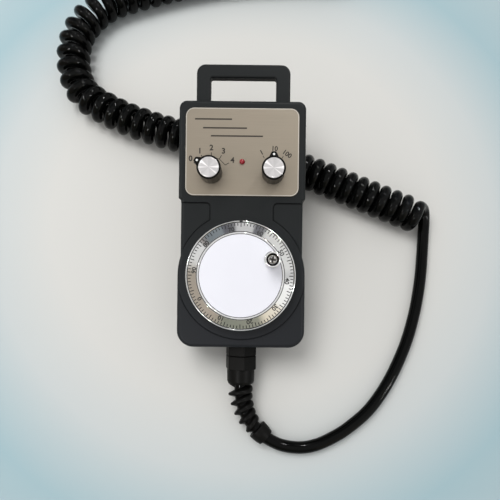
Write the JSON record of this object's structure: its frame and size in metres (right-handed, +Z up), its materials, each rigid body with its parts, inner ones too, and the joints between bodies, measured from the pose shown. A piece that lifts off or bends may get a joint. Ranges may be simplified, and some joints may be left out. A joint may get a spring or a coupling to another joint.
{
  "type": "pulse generator pendant",
  "caption": "Hand-held pulse generator pendant with a click-stop handwheel, selector switches, signal lamp, carrying loop and curly cord ending in a round plug.",
  "frame": {"origin": "on the surface that the pendant lies on, below the middle of the housing with its loop and gland (the free cord and its plug are not counted)", "axes": "+Z up from the surface; +Y along the housing towards the carrying loop; +X to the right seen from the front. The housing leans back on its own curly cord, so the face points along (0, -0.2080, 0.9781): it is turned 12.005 degrees about +X from lying flat"},
  "size_m": [0.3305, 0.5019, 0.086],
  "materials": {
    "housing_plastic": "fine textured dark charcoal moulding",
    "seal_rubber": "soft black seal",
    "screw_steel": "zinc plated steel",
    "plate_aluminium": "warm champagne anodised, brushed",
    "rim_chrome": "bright chrome",
    "mark_ink": "black fill",
    "lamp_red": "red tinted lens",
    "black_plastic": "black nylon",
    "encoder_metal": "dark grey die casting",
    "board_green": "green circuit board",
    "spring_steel": "spring steel",
    "bearing_steel": "ground bearing steel",
    "dial_chrome": "polished and engraved",
    "disc_white": "satin white silver",
    "wheel_brass": "plain brass",
    "finger_chrome": "polished",
    "knob_plastic": "black moulding",
    "cap_aluminium": "spun aluminium",
    "terminal_green": "green terminal body",
    "wire_yellow": "wire insulation",
    "cord_black": "glossy black polyurethane",
    "contact_gold": "gold plated",
    "plug_chrome": "satin chrome"
  },
  "bodies": {
    "housing": {"front_shell": "housing_plastic", "back_shell": "housing_plastic", "shell_seal": "seal_rubber", "shell_screws": "screw_steel", "face_plate": "plate_aluminium", "dial_rim": "rim_chrome", "index_mark": "mark_ink", "lamp_lens": "lamp_red", "lamp_holder": "black_plastic", "encoder_cup": "encoder_metal", "encoder_cover": "encoder_metal", "encoder_screws": "screw_steel", "encoder_board": "board_green", "optical_reader": "black_plastic", "detent_spring": "spring_steel", "bearing_outer_rings": "bearing_steel", "bearing_balls": "bearing_steel", "axis_switch_can": "encoder_metal", "axis_switch_nut": "screw_steel", "axis_switch_pins": "contact_gold", "rate_switch_can": "encoder_metal", "rate_switch_nut": "screw_steel", "rate_switch_pins": "contact_gold", "main_board": "board_green", "terminal_block": "terminal_green", "wire_bundle": "wire_yellow", "inner_lead": "cord_black", "gland_body": "black_plastic", "gland_lock_nut": "black_plastic", "gland_seal": "seal_rubber", "gland_nut": "black_plastic", "bend_guard": "black_plastic", "bend_collar": "black_plastic", "front_lead": "cord_black", "curl_under_housing": "cord_black", "curl_bend": "cord_black", "curl_far_run": "cord_black", "tail_lead": "cord_black", "plug_clamp": "plug_chrome", "plug_shell": "plug_chrome", "plug_insert": "black_plastic", "plug_pins": "contact_gold"},
    "dial": {"dial_ring": "dial_chrome", "dial_disc": "disc_white", "spindle": "bearing_steel", "hub_nut": "screw_steel", "bearing_inner_rings": "bearing_steel", "detent_wheel": "wheel_brass", "code_disc": "spring_steel", "finger_knob_screw": "screw_steel"},
    "finger_knob": {"finger_knob": "finger_chrome", "finger_knob_bush": "black_plastic"},
    "axis_selector": {"axis_knob": "knob_plastic", "axis_knob_cap": "cap_aluminium", "axis_shaft": "bearing_steel"},
    "rate_selector": {"rate_knob": "knob_plastic", "rate_knob_cap": "cap_aluminium", "rate_shaft": "bearing_steel"},
    "coupling_ring": {"coupling_ring": "plug_chrome"}
  },
  "joints": [
    {"name": "dial_turn", "type": "hinge", "parent": "housing", "child": "dial", "pos_m": [0, -0.04029, 0.05407], "axis": [0, -0.208, 0.9781], "continuous": true},
    {"name": "finger_knob_spin", "type": "hinge", "parent": "dial", "child": "finger_knob", "pos_m": [0.02146, -0.03248, 0.06902], "axis": [0, -0.208, 0.9781], "continuous": true},
    {"name": "axis_select", "type": "hinge", "parent": "housing", "child": "axis_selector", "pos_m": [-0.02175, 0.03023, 0.06906], "axis": [0, -0.208, 0.9781], "range_deg": [-120, 0]},
    {"name": "rate_select", "type": "hinge", "parent": "housing", "child": "rate_selector", "pos_m": [0.02175, 0.03023, 0.06906], "axis": [0, -0.208, 0.9781], "range_deg": [-30, 30]},
    {"name": "coupling_ring_turn", "type": "hinge", "parent": "housing", "child": "coupling_ring", "pos_m": [-0.048, 0.326, 0.012], "axis": [-1, 0, 0], "continuous": true}
  ]
}
